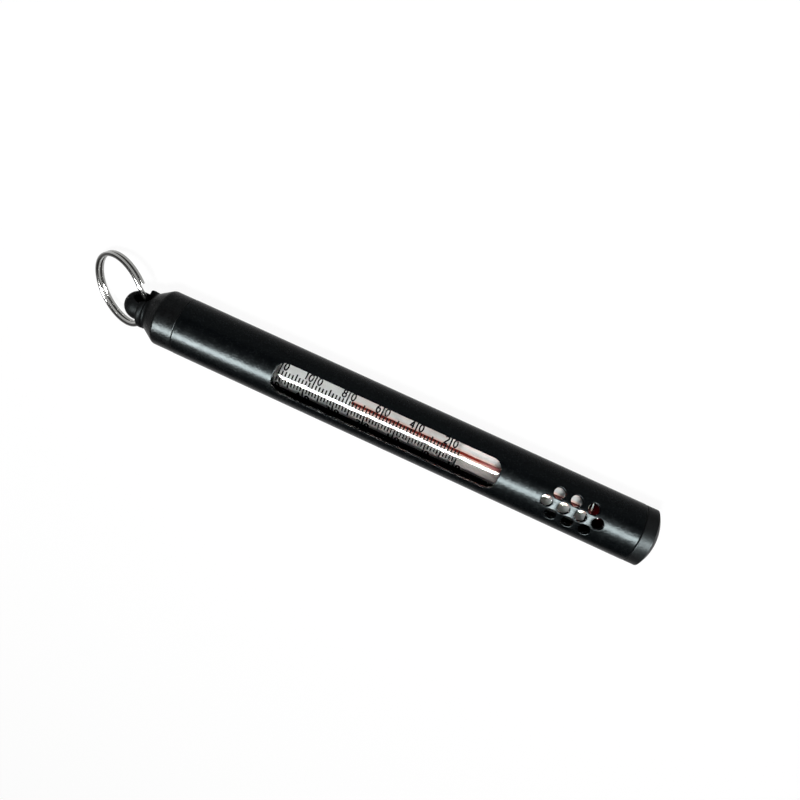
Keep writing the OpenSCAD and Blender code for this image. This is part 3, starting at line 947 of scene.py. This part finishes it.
# Split ring
# Two turns of spring wire, rolled flat-sided and nickel plated, with a crossing where one turn
# climbs over the other. It hangs in the eye and droops until it lies on the table.
ring_od = 17.46 * MM
wire_w = 1.0 * MM
wire_t = 0.85 * MM
wire_corner = 0.3 * MM
turn_rise = wire_t + 0.12 * MM
ring_r = (ring_od - wire_w) / 2
wire_in_eye = 1.0 * MM
wire_end_at = math.radians(42)
crossing = math.radians(36)
end_gap = math.radians(4)
ring_sweep = 2 * full_turn - crossing - end_gap
ring_reach = 2 * ring_r + wire_w / 2 - wire_in_eye
ring_half = (turn_rise + wire_t) / 2
lying = math.asin(barrel_r / math.hypot(ring_reach, ring_half))
ring_droop = lying - math.atan2(ring_half, ring_reach)
steel_dark, steel_light = (0.24, 0.24, 0.232, 1), (0.35, 0.35, 0.338, 1)

steel, tree, surface = new_material("spring_steel")
place = add(tree, "ShaderNodeTexCoord").outputs["Object"]
wear = noise(tree, place, 700.0, 4.0)
principled(tree, surface, [
    ("Base Color", blend(tree, wear, steel_dark, steel_light)), ("Metallic", 1.0),
    ("Roughness", ramp(tree, wear, 0.3, 0.7, 0.15, 0.11))])

tree, given = new_growth("rolled_wire", (
    "Radius", "Rise", "Sweep", "Crossing", "End At", "Wire Width", "Wire Thickness", "Corner"))
line = add(tree, "GeometryNodeCurvePrimitiveLine")
route = add(tree, "GeometryNodeResampleCurve", [("Curve", line.outputs[0]), ("Count", 420)])
along = add(tree, "GeometryNodeSplineParameter").outputs["Factor"]
turned = calc(tree, "MULTIPLY", along, given["Sweep"])
climb_start = calc(tree, "SUBTRACT", full_turn, given["Crossing"])
climb = ramp(tree, turned, climb_start, full_turn, -0.5, 0.5, interpolation_type="SMOOTHSTEP")
sideways, forward = polar(tree, given["Radius"], calc(tree, "ADD", turned, given["End At"]))
coil = add(tree, "GeometryNodeSetPosition", [("Geometry", route.outputs[0]), (
    "Position", position(tree, forward, sideways, calc(tree, "MULTIPLY", given["Rise"], climb)))])
upright = add(tree, "GeometryNodeSetCurveNormal", [(0, coil.outputs[0])], mode="Z_UP")
box_shape = add(tree, "GeometryNodeCurvePrimitiveQuadrilateral", [
    ("Width", given["Wire Width"]), ("Height", given["Wire Thickness"])])
profile = add(tree, "GeometryNodeFilletCurve", [
    ("Curve", box_shape.outputs[0]), ("Count", 6), ("Radius", given["Corner"])], mode="POLY")
wire = add(tree, "GeometryNodeCurveToMesh", [
    ("Curve", upright.outputs[0]), ("Profile Curve", profile.outputs[0]), ("Fill Caps", True)])
finish_growth(tree, wire.outputs[0])
ring = shown("ring_wire", bpy.data.meshes.new("ring_wire"))
grow(ring, tree, {"Radius": ring_r, "Rise": turn_rise, "Sweep": ring_sweep, "Crossing": crossing,
                  "End At": wire_end_at, "Wire Width": wire_w, "Wire Thickness": wire_t,
                  "Corner": wire_corner, "Finish": steel})
ring.data.transform(Matrix.Translation((eye_x, 0, 0)) @ Matrix.Rotation(-ring_droop, 4, "Y")
                    @ Matrix.Translation((wire_in_eye - ring_r, 0, 0)))
polish(ring, 50)
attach(ring, "ring")
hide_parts("split_ring")
